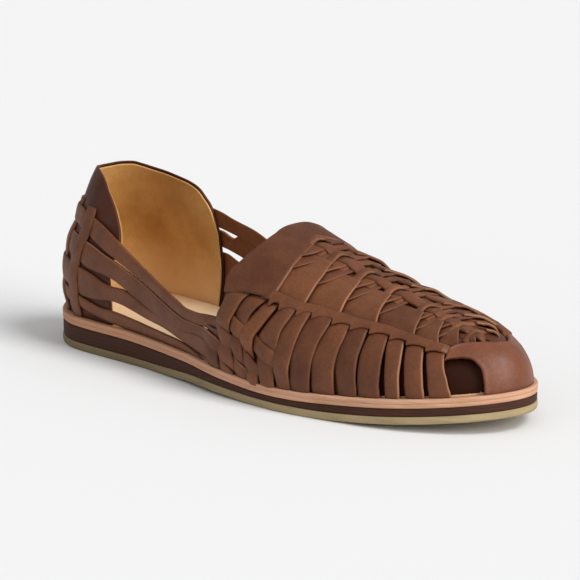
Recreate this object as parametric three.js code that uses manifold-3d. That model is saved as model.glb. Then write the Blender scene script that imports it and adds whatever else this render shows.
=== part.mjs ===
// A huarache sandal for the right foot: a stacked leather and rubber sole, an insole, and a
// woven leather upper with an open waist, a closed heel and a hole on each side of the toe.
// Millimetres, +X from heel to toe, +Y to the inner (medial) side of the foot, +Z up.
//
// Every form comes from two functions: solePoint, which runs round the edge of the sole, and
// lastPoint, which climbs from that edge over the last to its ridge. A place on the last has
// an angle round the sole (0 at the back of the heel, -PI or +PI at the toe, negative on the
// outer side) and a climb (0 at the welt, 1 on the ridge).

import * as THREE from 'three';
import { mergeVertices } from 'three/addons/utils/BufferGeometryUtils.js';
import Module from 'manifold-3d';

const wasm = await Module();
wasm.setup();

// ---------------------------------------------------------------- driving dimensions

const LENGTH = 296;          // sole, heel to toe
const GAP = 0.3;             // between pieces that meet
const OUTSOLE = 3.8;         // rubber
const WELT = 4.4;            // leather midsole that shows as a pale band
const INSOLE = 2.0;
const WALL = 2.4;            // woven leather, two straps deep where they cross
const STRIP = 1.7;           // a strap that stands proud of the weave

const TOE_SPRING = 7.9;
const TOE_SPRING_START = 205;
const TOE_SPRING_POWER = 1.55;
const ARCH = { start: 85, end: 180, rise: 1.5 };
const HEEL_BEVEL = { length: 18, rise: 1 };

const HEEL_ROUND = { length: 34, power: 2.2 };
const TOE_ROUND = { length: 62, power: 2.3 };
const TOE_SWING = { start: 200, shift: 5 };     // the tip leans to the inner side

const SOLE_STATIONS = 44;    // along one side
const LAST_STATIONS = 46;
const LAST_ROWS = 12;        // up the wall, welt to ridge
const BULGE_HEIGHT = 48;     // the wall swells between the welt and this height

const SOLE_WIDTHS = [        // half widths of the sole before its ends are rounded
  { x: 0, lateral: 30.0, medial: 31.0 },
  { x: 40, lateral: 36.3, medial: 34.5 },
  { x: 80, lateral: 38.0, medial: 32.0 },
  { x: 115, lateral: 43.5, medial: 31.0 },
  { x: 150, lateral: 50.0, medial: 35.0 },
  { x: 185, lateral: 51.0, medial: 44.0 },
  { x: 215, lateral: 47.0, medial: 49.5 },
  { x: 245, lateral: 40.5, medial: 49.0 },
  { x: 270, lateral: 34.5, medial: 45.0 },
  { x: LENGTH, lateral: 29.0, medial: 40.0 },
];

const WEDGE_THICKNESS = [    // the dark heel lift runs out to a thin sheet under the ball
  { x: 0, thick: 8.0 },
  { x: 60, thick: 8.0 },
  { x: 90, thick: 7.2 },
  { x: 150, thick: 3.6 },
  { x: 180, thick: 2.9 },
  { x: 200, thick: 3.15 },
  { x: 215, thick: 3.7 },
  { x: 230, thick: 3.95 },
  { x: LENGTH, thick: 4.0 },
];

const LAST = [               // by the x of the sole edge below
  { x: 0, ledge: 3.5, bulge: 0.085, ridgeX: 36, ridgeY: 0.0 },
  { x: 34, ledge: 3.3, bulge: 0.065, ridgeX: 46, ridgeY: 0.1 },
  { x: 60, ledge: 3.0, bulge: 0.048, ridgeX: 64, ridgeY: 0.2 },
  { x: 140, ledge: 3.0, bulge: 0.02, ridgeX: 140, ridgeY: 0.9 },
  { x: 235, ledge: 3.0, bulge: 0.02, ridgeX: 235, ridgeY: 2.9 },
  { x: 262, ledge: 3.0, bulge: 0.02, ridgeX: 256, ridgeY: 3.9 },
  { x: 285, ledge: 3.0, bulge: 0.02, ridgeX: 270, ridgeY: 4.6 },
  { x: LENGTH, ledge: 3.0, bulge: 0.02, ridgeX: 273, ridgeY: 5.0 },
];

const SECTIONS = [           // by the x of the ridge: its height, and how square the section is
  { x: 0, height: 100, across: 2.2, up: 2.0 },
  { x: 40, height: 102, across: 2.25, up: 2.0 },
  { x: 70, height: 116, across: 2.35, up: 2.0 },
  { x: 100, height: 105, across: 2.6, up: 2.0 },
  { x: 138, height: 79, across: 2.9, up: 2.1 },
  { x: 150, height: 76.5, across: 2.85, up: 2.1 },
  { x: 170, height: 69.5, across: 2.7, up: 2.1 },
  { x: 204, height: 58.6, across: 2.4, up: 2.05 },
  { x: 234, height: 51, across: 2.35, up: 2.0 },
  { x: 263, height: 43, across: 2.3, up: 2.0 },
  { x: LENGTH, height: 33, across: 2.3, up: 2.0 },
];

const THROAT = [             // the rear edge of the vamp from the side, from waist to ridge
  { x: 144.5, z: 55.8 }, { x: 143.9, z: 58.6 }, { x: 144.9, z: 61.6 }, { x: 147.3, z: 63.8 },
  { x: 149.7, z: 66.7 }, { x: 152.3, z: 71.1 }, { x: 152.7, z: 73.5 }, { x: 151.3, z: 75.7 },
  { x: 150.3, z: 77 },
];

const COLLAR = {             // the opening's edge from the side: heel, wing, waist, throat
  lateral: [
    { x: 16.5, z: 87 }, { x: 21, z: 88 }, { x: 27, z: 88.2 }, { x: 32, z: 87.4 },
    { x: 36.4, z: 85.9 }, { x: 40, z: 83.8 }, { x: 43.5, z: 80.9 }, { x: 52, z: 74 },
    { x: 57, z: 67 }, { x: 60.4, z: 59.5 }, { x: 66, z: 56.2 }, { x: 73, z: 52.9 },
    { x: 85, z: 47.5 }, { x: 97, z: 42.8 }, { x: 109, z: 38.8 }, { x: 118, z: 36.5 },
    { x: 126, z: 36.2 }, { x: 134, z: 37 }, { x: 141, z: 38 }, { x: 145.5, z: 43 },
    { x: 146.8, z: 48.7 },
    ...THROAT,
  ],
  medial: [
    { x: 16.5, z: 87 }, { x: 19.4, z: 87.6 }, { x: 23.2, z: 87.7 }, { x: 27, z: 86.5 },
    { x: 32, z: 85 }, { x: 39.5, z: 83.5 }, { x: 47.8, z: 81.5 }, { x: 54, z: 79.8 },
    { x: 59.5, z: 77.2 }, { x: 63.3, z: 73.2 }, { x: 67.5, z: 68 }, { x: 72, z: 66.4 },
    { x: 82, z: 63.8 }, { x: 97, z: 60.6 }, { x: 110, z: 55.2 }, { x: 122, z: 49.6 },
    { x: 134, z: 43.8 }, { x: 141, z: 41.5 }, { x: 145.5, z: 44 }, { x: 146.8, z: 48.7 },
    ...THROAT,
  ],
};

const WAIST_GAPS = {         // see-through gaps between the waist straps, from the side
  lateral: [
    [{ x: 62, z: 49.2 }, { x: 85, z: 40.8 }, { x: 97, z: 36.4 }, { x: 109, z: 32.6 },
      { x: 117, z: 30.9 }, { x: 109, z: 31.8 }, { x: 97, z: 35.2 }, { x: 62, z: 47.8 }],
    [{ x: 55, z: 41 }, { x: 67, z: 37.2 }, { x: 74, z: 34.4 }, { x: 66, z: 36.4 },
      { x: 55, z: 36.9 }],
    [{ x: 57, z: 29 }, { x: 74, z: 26.6 }, { x: 97, z: 23.6 }, { x: 109, z: 22.2 },
      { x: 115, z: 20.4 }, { x: 109, z: 19.6 }, { x: 97, z: 20.3 }, { x: 57, z: 24 }],
  ],
  medial: [
    [{ x: 72.5, z: 57.9 }, { x: 82, z: 56.2 }, { x: 84, z: 55.1 }, { x: 80, z: 53.4 },
      { x: 72.5, z: 56 }],
    [{ x: 72.5, z: 47.9 }, { x: 85, z: 45.4 }, { x: 110, z: 36 }, { x: 132, z: 27.7 },
      { x: 130, z: 25.6 }, { x: 110, z: 31.8 }, { x: 85, z: 40.4 }, { x: 72.5, z: 44.6 }],
    [{ x: 84, z: 28.6 }, { x: 97, z: 26.5 }, { x: 110, z: 24.4 }, { x: 122, z: 21.6 },
      { x: 126, z: 20 }, { x: 118, z: 18.9 }, { x: 97, z: 22.4 }, { x: 84, z: 26.8 }],
  ],
};

const SIDE_SLOTS = { first: 266.8, pitch: 10.4, count: 4, width: 2.2, low: 0.09, high: 0.42 };

const TOE_HOLE = [           // by climb: where the hole starts and ends along the sole edge
  { climb: 0.07, rear: 277, front: 288.4 },
  { climb: 0.2, rear: 276, front: 287.8 },
  { climb: 0.29, rear: 275, front: 285.4 },
  { climb: 0.335, rear: 274.5, front: 283 },
  { climb: 0.366, rear: 274, front: 276 },
];

const EDGE_STRIP = [         // the long strip over the tops of the side straps
  { x: 150, low: 0.395, high: 0.465 },
  { x: 162, low: 0.432, high: 0.505 },
  { x: 180, low: 0.462, high: 0.54 },
  { x: 199, low: 0.503, high: 0.59 },
  { x: 219, low: 0.522, high: 0.615 },
  { x: 239, low: 0.55, high: 0.65 },
  { x: 260, low: 0.53, high: 0.64 },
  { x: 271, low: 0.51, high: 0.62 },
];

const SPINE = { from: 166, to: 272, width: 7, aside: -2.6 };   // aside of the ridge

const HEEL_STRAPS = [        // heights of each strap's middle at the back and at its two ends
  { back: 66, lateral: 58, medial: 64.4, width: 8.5 },
  { back: 54, lateral: 47.2, medial: 53, width: 8.3 },
  { back: 41, lateral: 33.5, medial: 39.3, width: 9.5 },
  { back: 28, lateral: 21.6, medial: 24.8, width: 7 },
];
const HEEL_STRAP_REACH = 50; // x of the ends

const COLOURS = {
  rubber: { color: 0xa8966a, roughness: 0.8 },
  wedge: { color: 0x46291f, roughness: 0.7 },
  welt: { color: 0xc29478, roughness: 0.6 },
  insole: { color: 0xa8763c, roughness: 0.65 },
  leather: { color: 0x6b4033, roughness: 0.5 },
};

// ---------------------------------------------------------------- curves through tables

// A smooth curve through a table's rows that never overshoots them.
function curve(rows, key) {
  const xs = rows.map((row) => row.x);
  const ys = rows.map((row) => row[key]);
  const last = xs.length - 1;
  const rise = (i) => (ys[i + 1] - ys[i]) / (xs[i + 1] - xs[i]);
  const slopes = xs.map((_, i) => {
    if (i === 0) return rise(0);
    if (i === last) return rise(last - 1);
    if (rise(i - 1) * rise(i) <= 0) return 0;
    const before = xs[i] - xs[i - 1];
    const after = xs[i + 1] - xs[i];
    const w1 = 2 * after + before;
    const w2 = after + 2 * before;
    return (w1 + w2) / (w1 / rise(i - 1) + w2 / rise(i));
  });
  return (x) => {
    let i = 0;
    while (i < last - 1 && x > xs[i + 1]) i += 1;
    const span = xs[i + 1] - xs[i];
    const t = clamp((x - xs[i]) / span);
    const t2 = t * t;
    const t3 = t2 * t;
    return (2 * t3 - 3 * t2 + 1) * ys[i] + (t3 - 2 * t2 + t) * span * slopes[i]
      + (3 * t2 - 2 * t3) * ys[i + 1] + (t3 - t2) * span * slopes[i + 1];
  };
}

function clamp(value) {
  return Math.min(1, Math.max(0, value));
}

const lateralWidth = curve(SOLE_WIDTHS, 'lateral');
const medialWidth = curve(SOLE_WIDTHS, 'medial');
const wedgeThickness = curve(WEDGE_THICKNESS, 'thick');
const ledge = curve(LAST, 'ledge');
const bulge = curve(LAST, 'bulge');
const ridgeX = curve(LAST, 'ridgeX');
const ridgeY = curve(LAST, 'ridgeY');
const ridgeHeight = curve(SECTIONS, 'height');
const squareAcross = curve(SECTIONS, 'across');
const squareUp = curve(SECTIONS, 'up');

// ---------------------------------------------------------------- sole edge and layers

function stationX(angle) {
  return LENGTH / 2 * (1 - Math.cos(angle));
}

function angleAt(x, side) {
  return side * Math.acos(1 - 2 * x / LENGTH);
}

// How far the two ends have rounded in at x, 1 along the straight part of the sole.
function endRounding(x) {
  const heel = clamp((HEEL_ROUND.length - x) / HEEL_ROUND.length);
  const toe = clamp((x - LENGTH + TOE_ROUND.length) / TOE_ROUND.length);
  return Math.sqrt((1 - heel ** HEEL_ROUND.power) * (1 - toe ** TOE_ROUND.power));
}

function soleEdge(angle) {
  const x = stationX(angle);
  const middle = TOE_SWING.shift
    * clamp((x - TOE_SWING.start) / (LENGTH - TOE_SWING.start)) ** 2;
  const side = Math.sin(angle) < 0 ? -1 : 1;
  const width = side < 0 ? lateralWidth(x) + middle : medialWidth(x) - middle;
  return new THREE.Vector2(x, middle + side * width * endRounding(x));
}

// The sole's edge, moved inwards by inset.
function solePoint(angle, inset = 0) {
  const step = 1e-3;
  const along = soleEdge(angle + step).sub(soleEdge(angle - step)).normalize();
  return soleEdge(angle).addScaledVector(new THREE.Vector2(along.y, -along.x), inset);
}

function groundHeight(x) {
  const toe = clamp((x - TOE_SPRING_START) / (LENGTH - TOE_SPRING_START));
  const arch = clamp((x - ARCH.start) / (ARCH.end - ARCH.start));
  const heel = clamp(1 - x / HEEL_BEVEL.length);
  return TOE_SPRING * toe ** TOE_SPRING_POWER + ARCH.rise * Math.sin(Math.PI * arch) ** 2
    + HEEL_BEVEL.rise * heel ** 2;
}

const wedgeTop = (x) => groundHeight(x) + OUTSOLE + wedgeThickness(x);
const weltTop = (x) => wedgeTop(x) + WELT;

// ---------------------------------------------------------------- the last

function lastPoint(angle, climb) {
  const station = stationX(angle);
  const foot = solePoint(angle, ledge(station));
  const topX = ridgeX(station);
  const topY = ridgeY(station);
  const base = weltTop(foot.x) + GAP;
  const turn = climb * Math.PI / 2;
  const height = (ridgeHeight(topX) - base) * Math.sin(turn) ** (2 / squareUp(topX));
  const swell = 1 + bulge(station) * Math.sin(Math.PI * clamp(height / BULGE_HEIGHT));
  const reach = swell * Math.max(0, Math.cos(turn)) ** (2 / squareAcross(topX));
  return new THREE.Vector3(
    topX + (foot.x - topX) * reach,
    topY + (foot.y - topY) * reach,
    base + height,
  );
}

function lastNormal(angle, climb) {
  const step = 1e-3;
  const c = Math.max(step, Math.min(1 - 2 * step, climb));
  const along = lastPoint(angle + step, c).sub(lastPoint(angle - step, c));
  const up = lastPoint(angle, c + step).sub(lastPoint(angle, c - step));
  const normal = up.cross(along).normalize();
  if (climb > 1 - step) normal.setY(0).normalize();
  return normal;
}

function offsetPoint(angle, climb, offset) {
  return lastPoint(angle, climb).addScaledVector(lastNormal(angle, climb), offset);
}

// The climb at which the wall is still this far out from the ridge.
function climbNearRidge(angle, distance) {
  const station = stationX(angle);
  const foot = solePoint(angle, ledge(station));
  const part = clamp(distance / Math.abs(foot.y - ridgeY(station)));
  return Math.acos(part ** (squareAcross(ridgeX(station)) / 2)) / (Math.PI / 2);
}

function climbAtHeight(angle, z) {
  const station = stationX(angle);
  const topX = ridgeX(station);
  const base = weltTop(solePoint(angle, ledge(station)).x) + GAP;
  const part = clamp((z - base) / (ridgeHeight(topX) - base));
  return Math.asin(part ** (squareUp(topX) / 2)) / (Math.PI / 2);
}

// ---------------------------------------------------------------- solids

// Points that coincide are merged first, and triangles that this flattens are dropped.
function toSolid(geometry) {
  geometry.deleteAttribute('normal');
  geometry.deleteAttribute('uv');
  const merged = mergeVertices(geometry, 1e-3);
  const index = merged.index.array;
  const corners = [];
  for (let i = 0; i < index.length; i += 3) {
    const [a, b, c] = index.slice(i, i + 3);
    if (a !== b && b !== c && c !== a) corners.push(a, b, c);
  }
  return new wasm.Manifold(new wasm.Mesh({
    numProp: 3,
    vertProperties: new Float32Array(merged.attributes.position.array),
    triVerts: new Uint32Array(corners),
  }));
}

function toGeometry(solid) {
  const mesh = solid.getMesh();
  const geometry = new THREE.BufferGeometry();
  geometry.setAttribute('position', new THREE.BufferAttribute(mesh.vertProperties, 3));
  geometry.setIndex(new THREE.BufferAttribute(mesh.triVerts, 1));
  return geometry;
}

// A closed geometry from points and triangles, turned so that its faces point out.
function closedGeometry(points, triangles) {
  let volume = 0;
  for (const [a, b, c] of triangles) {
    volume += new THREE.Vector3().crossVectors(points[b], points[c]).dot(points[a]);
  }
  const faces = volume > 0 ? triangles : triangles.map(([a, b, c]) => [a, c, b]);
  const geometry = new THREE.BufferGeometry().setFromPoints(points);
  geometry.setIndex(faces.flat());
  return geometry;
}

function quad(a, b, c, d) {
  return [[a, b, c], [a, c, d]];
}

// A plate between two heights with the sole's outline, inset all round.
function plate(inset, bottom, top) {
  const points = [];
  const triangles = [];
  for (let i = 0; i <= SOLE_STATIONS; i += 1) {
    const angle = Math.PI * i / SOLE_STATIONS;
    for (const side of [-1, 1]) {
      const p = solePoint(side * angle, inset);
      points.push(new THREE.Vector3(p.x, p.y, bottom(p.x)), new THREE.Vector3(p.x, p.y, top(p.x)));
    }
  }
  for (let i = 0; i < SOLE_STATIONS; i += 1) {
    const [lowL, highL, lowM, highM] = [0, 1, 2, 3].map((k) => 4 * i + k);
    triangles.push(...quad(lowL, lowL + 4, highL + 4, highL));
    triangles.push(...quad(highL, highL + 4, highM + 4, highM));
    triangles.push(...quad(highM, highM + 4, lowM + 4, lowM));
    triangles.push(...quad(lowM, lowM + 4, lowL + 4, lowL));
  }
  const closed = closedGeometry(points, triangles);
  return toGeometry(toSolid(closed));
}

// The whole last as a closed form, offset from its surface, with its foot lowered by drop.
function lastForm(offset, drop) {
  const points = [];
  const rows = [];
  for (let j = -1; j <= LAST_ROWS; j += 1) {
    const row = [];
    for (let i = -LAST_STATIONS; i <= LAST_STATIONS; i += 1) {
      const onRidge = j === LAST_ROWS;
      const angle = Math.PI * (onRidge ? -Math.abs(i) : i) / LAST_STATIONS;
      const p = offsetPoint(angle, Math.max(0, j) / LAST_ROWS, offset);
      if (j < 0) p.z -= drop;
      row.push(points.push(p) - 1);
    }
    rows.push(row);
  }
  const triangles = [];
  const width = 2 * LAST_STATIONS;
  for (let j = 0; j < rows.length - 1; j += 1) {
    for (let i = 0; i < width; i += 1) {
      triangles.push(...quad(rows[j][i], rows[j][i + 1], rows[j + 1][i + 1], rows[j + 1][i]));
    }
  }
  for (let i = 0; i < LAST_STATIONS; i += 1) {
    const foot = rows[0];
    triangles.push(...quad(foot[i + 1], foot[i], foot[width - i], foot[width - i - 1]));
  }
  return toSolid(closedGeometry(points, triangles));
}

// A slab that follows the last between two offsets. place(u, v) gives angle and climb.
function slab(place, alongSteps, acrossSteps, inner, outer) {
  const points = [];
  const grid = [inner, outer].map((offset) => {
    const rows = [];
    for (let i = 0; i <= alongSteps; i += 1) {
      const row = [];
      for (let j = 0; j <= acrossSteps; j += 1) {
        const { angle, climb } = place(i / alongSteps, j / acrossSteps);
        row.push(points.push(offsetPoint(angle, climb, offset)) - 1);
      }
      rows.push(row);
    }
    return rows;
  });
  const [low, high] = grid;
  const triangles = [];
  for (let i = 0; i < alongSteps; i += 1) {
    for (let j = 0; j < acrossSteps; j += 1) {
      triangles.push(...quad(high[i][j], high[i + 1][j], high[i + 1][j + 1], high[i][j + 1]));
      triangles.push(...quad(low[i][j], low[i][j + 1], low[i + 1][j + 1], low[i + 1][j]));
    }
    triangles.push(...quad(low[i][0], low[i + 1][0], high[i + 1][0], high[i][0]));
    triangles.push(...quad(high[i][acrossSteps], high[i + 1][acrossSteps],
      low[i + 1][acrossSteps], low[i][acrossSteps]));
  }
  for (let j = 0; j < acrossSteps; j += 1) {
    const end = alongSteps;
    triangles.push(...quad(low[0][j], high[0][j], high[0][j + 1], low[0][j + 1]));
    triangles.push(...quad(high[end][j], low[end][j], low[end][j + 1], high[end][j + 1]));
  }
  return toSolid(closedGeometry(points, triangles));
}

// A prism over one side of the shoe from an outline seen from the side.
function sidePrism(outline, side) {
  const depth = 80;
  const overlap = 0.05;      // past the middle, where the two sides' prisms meet
  const shape = new THREE.Shape(outline.map(({ x, z }) => new THREE.Vector2(x, z)));
  const geometry = new THREE.ExtrudeGeometry(shape, {
    depth: depth + overlap, bevelEnabled: false, curveSegments: 1,
  });
  geometry.rotateX(Math.PI / 2);
  geometry.translate(0, side < 0 ? overlap : depth, 0);
  return toSolid(geometry);
}

// ---------------------------------------------------------------- upper

function collarCutter(rows, side) {
  const sky = 140;
  const behind = -15;
  const smooth = new THREE.SplineCurve(rows.map(({ x, z }) => new THREE.Vector2(x, z)));
  const edge = smooth.getPoints(2 * rows.length).map((p) => ({ x: p.x, z: p.y }));
  const start = rows[0];
  const end = rows[rows.length - 1];
  return sidePrism([
    { x: behind, z: sky }, { x: behind, z: start.z }, ...edge, { x: end.x, z: sky },
  ], side);
}

const CUT_DEPTH = 7;         // a cut that follows the wall reaches this far to each side of it

function sideSlot(side, index) {
  const { first, pitch, width, low, high } = SIDE_SLOTS;
  const middle = first - index * pitch;
  const place = (u, v) => ({
    angle: angleAt(middle + (u - 0.5) * width, side),
    climb: low + (high - low) * v,
  });
  return slab(place, 1, 3, -CUT_DEPTH, CUT_DEPTH);
}

function toeHole(side) {
  const byClimb = TOE_HOLE.map((row) => ({ ...row, x: row.climb }));
  const rear = curve(byClimb, 'rear');
  const front = curve(byClimb, 'front');
  const lowest = TOE_HOLE[0].climb;
  const highest = TOE_HOLE[TOE_HOLE.length - 1].climb;
  const place = (u, v) => {
    const climb = lowest + (highest - lowest) * v;
    return { angle: angleAt(rear(climb) + (front(climb) - rear(climb)) * u, side), climb };
  };
  return slab(place, 3, 6, -CUT_DEPTH, CUT_DEPTH / 2);
}

function makeUpper() {
  const under = 6;
  let solid = lastForm(0, 0).subtract(lastForm(-WALL, under));
  const cutters = [];
  for (const [name, side] of [['lateral', -1], ['medial', 1]]) {
    cutters.push(collarCutter(COLLAR[name], side));
    for (const gap of WAIST_GAPS[name]) cutters.push(sidePrism(gap, side));
    for (let i = 0; i < SIDE_SLOTS.count; i += 1) cutters.push(sideSlot(side, i));
    cutters.push(toeHole(side));
  }
  for (const cutter of cutters) solid = solid.subtract(cutter);
  return toGeometry(solid);
}

// ---------------------------------------------------------------- strips that stand proud

function makeEdgeStrip(side) {
  const low = curve(EDGE_STRIP, 'low');
  const high = curve(EDGE_STRIP, 'high');
  const from = EDGE_STRIP[0].x;
  const to = EDGE_STRIP[EDGE_STRIP.length - 1].x;
  const place = (u, v) => {
    const x = from + (to - from) * u;
    return { angle: angleAt(x, side), climb: low(x) + (high(x) - low(x)) * v };
  };
  return toGeometry(slab(place, 24, 2, GAP, GAP + STRIP));
}

function makeSpine() {
  const place = (u, v) => {
    const across = SPINE.aside + (v - 0.5) * SPINE.width;
    const x = SPINE.from + (SPINE.to - SPINE.from) * u;
    const angle = angleAt(x, across > 0 ? 1 : -1);
    return { angle, climb: across === 0 ? 1 : climbNearRidge(angle, Math.abs(across)) };
  };
  return toGeometry(slab(place, 20, 4, GAP, GAP + STRIP));
}

function makeHeelStrap({ back, lateral, medial, width }) {
  const reach = angleAt(HEEL_STRAP_REACH, 1);
  const place = (u, v) => {
    const angle = (2 * u - 1) * reach;
    const end = angle < 0 ? lateral : medial;
    const middle = back + (end - back) * (stationX(angle) / HEEL_STRAP_REACH);
    return { angle, climb: climbAtHeight(angle, middle + (v - 0.5) * width) };
  };
  return toGeometry(slab(place, 32, 2, GAP, GAP + STRIP));
}

// ---------------------------------------------------------------- assembly

function addPiece(group, name, geometry, finish) {
  const mesh = new THREE.Mesh(geometry, new THREE.MeshStandardMaterial({ ...finish, metalness: 0 }));
  mesh.name = name;
  group.add(mesh);
}

function makeSandal() {
  const sandal = new THREE.Group();
  const insoleInset = 3.5 + WALL + 0.6;
  addPiece(sandal, 'outsole', plate(0, groundHeight, (x) => groundHeight(x) + OUTSOLE),
    COLOURS.rubber);
  addPiece(sandal, 'heel_wedge', plate(0.2, (x) => groundHeight(x) + OUTSOLE + GAP, wedgeTop),
    COLOURS.wedge);
  addPiece(sandal, 'welt', plate(0, (x) => wedgeTop(x) + GAP, weltTop), COLOURS.welt);
  addPiece(sandal, 'insole', plate(insoleInset, (x) => weltTop(x) + GAP,
    (x) => weltTop(x) + GAP + INSOLE), COLOURS.insole);
  addPiece(sandal, 'upper', makeUpper(), COLOURS.leather);
  addPiece(sandal, 'edge_strip_lateral', makeEdgeStrip(-1), COLOURS.leather);
  addPiece(sandal, 'edge_strip_medial', makeEdgeStrip(1), COLOURS.leather);
  addPiece(sandal, 'spine_strip', makeSpine(), COLOURS.leather);
  HEEL_STRAPS.forEach((strap, i) => {
    addPiece(sandal, `heel_strap_${i + 1}`, makeHeelStrap(strap), COLOURS.leather);
  });
  return sandal;
}

// The origin is under the middle of the whole sandal, on the ground.
const sandal = makeSandal();
const box = new THREE.Box3().setFromObject(sandal);
sandal.position.set(-(box.min.x + box.max.x) / 2, -(box.min.y + box.max.y) / 2, -box.min.z);
sandal.updateMatrixWorld(true);

export default sandal;
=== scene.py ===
# The looks of a huarache sandal for the right foot: woven brown leather on a stacked sole.
#
# Sizes here are millimetres in the sandal's own frame: x from the back of the sole to the
# toe, y to the inner (medial) side of the foot, z up from the ground. A place on the last is
# an angle round the sole (0 at the back of the heel, -pi or +pi at the toe, negative on the
# outer side) and a climb (0 at the welt, 1 on the ridge), and a lift off its surface.

import math
import bpy
import numpy as np
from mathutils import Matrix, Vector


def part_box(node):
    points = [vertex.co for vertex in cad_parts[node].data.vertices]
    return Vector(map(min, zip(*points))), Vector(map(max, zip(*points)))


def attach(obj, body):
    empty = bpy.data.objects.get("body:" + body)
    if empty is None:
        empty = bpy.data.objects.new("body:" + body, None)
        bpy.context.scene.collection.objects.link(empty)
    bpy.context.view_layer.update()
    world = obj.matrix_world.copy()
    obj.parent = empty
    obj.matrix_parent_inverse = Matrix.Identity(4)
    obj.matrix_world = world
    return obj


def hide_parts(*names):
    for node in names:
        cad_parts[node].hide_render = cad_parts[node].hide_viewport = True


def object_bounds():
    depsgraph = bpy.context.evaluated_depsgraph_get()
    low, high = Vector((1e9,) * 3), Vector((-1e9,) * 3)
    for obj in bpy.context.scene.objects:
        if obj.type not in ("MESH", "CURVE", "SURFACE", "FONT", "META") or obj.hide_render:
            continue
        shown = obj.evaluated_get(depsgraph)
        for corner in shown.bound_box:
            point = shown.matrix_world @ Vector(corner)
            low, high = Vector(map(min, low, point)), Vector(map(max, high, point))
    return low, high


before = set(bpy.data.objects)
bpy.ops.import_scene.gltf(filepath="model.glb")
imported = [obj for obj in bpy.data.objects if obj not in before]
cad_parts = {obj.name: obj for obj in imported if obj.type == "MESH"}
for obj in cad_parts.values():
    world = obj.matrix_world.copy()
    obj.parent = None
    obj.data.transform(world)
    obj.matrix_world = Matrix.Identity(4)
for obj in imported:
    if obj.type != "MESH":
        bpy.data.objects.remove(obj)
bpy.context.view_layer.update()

MM = 0.001
rng = np.random.default_rng(7)

# ------------------------------------------------------------------ driving sizes

LENGTH = 296.0
GAP = 0.3
OUTSOLE = 3.8
WELT = 4.4
INSOLE = 2.0

TOE_SPRING, TOE_SPRING_START = 7.9, 205.0
ARCH_START, ARCH_END, ARCH_RISE = 85.0, 180.0, 1.5
HEEL_BEVEL, HEEL_BEVEL_RISE = 18.0, 1.0
HEEL_ROUND, HEEL_POWER = 34.0, 2.2
TOE_ROUND, TOE_POWER = 62.0, 2.3
TOE_SWING_START, TOE_SWING = 200.0, 5.0
BULGE_HEIGHT = 48.0


def table(names, *rows):
    """Columns by name from rows written out in order."""
    return dict(zip(names.split(), np.array(rows, float).T))


def curve(rows, key, by="x"):
    """A smooth curve through a table's column that never overshoots it."""
    xs, ys = rows[by], rows[key]
    rise = np.diff(ys) / np.diff(xs)
    slopes = np.zeros(len(xs))
    slopes[0], slopes[-1] = rise[0], rise[-1]
    for i in range(1, len(xs) - 1):
        if rise[i - 1] * rise[i] > 0:
            before, after = xs[i] - xs[i - 1], xs[i + 1] - xs[i]
            w1, w2 = 2 * after + before, after + 2 * before
            slopes[i] = (w1 + w2) / (w1 / rise[i - 1] + w2 / rise[i])

    def at(x):
        x = np.asarray(x, float)
        i = np.clip(np.searchsorted(xs, x, side="right") - 1, 0, len(xs) - 2)
        span = xs[i + 1] - xs[i]
        t = np.clip((x - xs[i]) / span, 0, 1)
        return ((2 * t**3 - 3 * t**2 + 1) * ys[i] + (t**3 - 2 * t**2 + t) * span * slopes[i]
                + (3 * t**2 - 2 * t**3) * ys[i + 1] + (t**3 - t**2) * span * slopes[i + 1])

    return at


SOLE_WIDTHS = table(
    "x lateral medial",
    (0, 30.0, 31.0), (40, 36.3, 34.5), (80, 38.0, 32.0), (115, 43.5, 31.0),
    (150, 50.0, 35.0), (185, 51.0, 44.0), (215, 47.0, 49.5), (245, 40.5, 49.0),
    (270, 34.5, 45.0), (296, 29.0, 40.0),
)
WEDGE = table(
    "x thick", (0, 8.0), (60, 8.0), (90, 7.2), (150, 3.6), (180, 2.9), (200, 3.15), (215, 3.7),
    (230, 3.95), (296, 4.0))
LAST = table(
    "x ledge bulge ridge_x ridge_y",
    (0, 3.5, 0.085, 36, 0.0), (34, 3.3, 0.065, 46, 0.1), (60, 3.0, 0.048, 64, 0.2),
    (140, 3.0, 0.02, 140, 0.9), (235, 3.0, 0.02, 235, 2.9), (262, 3.0, 0.02, 256, 3.9),
    (285, 3.0, 0.02, 270, 4.6), (296, 3.0, 0.02, 273, 5.0),
)
SECTIONS = table(
    "x height across up",
    (0, 100, 2.2, 2.0), (40, 102, 2.25, 2.0), (70, 116, 2.35, 2.0), (100, 105, 2.6, 2.0),
    (138, 79, 2.9, 2.1), (150, 76.5, 2.85, 2.1), (170, 69.5, 2.7, 2.1),
    (204, 58.6, 2.4, 2.05), (234, 51, 2.35, 2.0), (263, 43, 2.3, 2.0), (296, 33, 2.3, 2.0),
)

lateral_width, medial_width = curve(SOLE_WIDTHS, "lateral"), curve(SOLE_WIDTHS, "medial")
wedge_thickness = curve(WEDGE, "thick")
ledge, bulge = curve(LAST, "ledge"), curve(LAST, "bulge")
ridge_x, ridge_y = curve(LAST, "ridge_x"), curve(LAST, "ridge_y")
ridge_height = curve(SECTIONS, "height")
square_across, square_up = curve(SECTIONS, "across"), curve(SECTIONS, "up")

# ------------------------------------------------------------------ sole and last


def station_x(angle):
    return LENGTH / 2 * (1 - np.cos(angle))


def angle_at(x, side):
    return side * np.arccos(np.clip(1 - 2 * np.asarray(x, float) / LENGTH, -1, 1))


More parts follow.
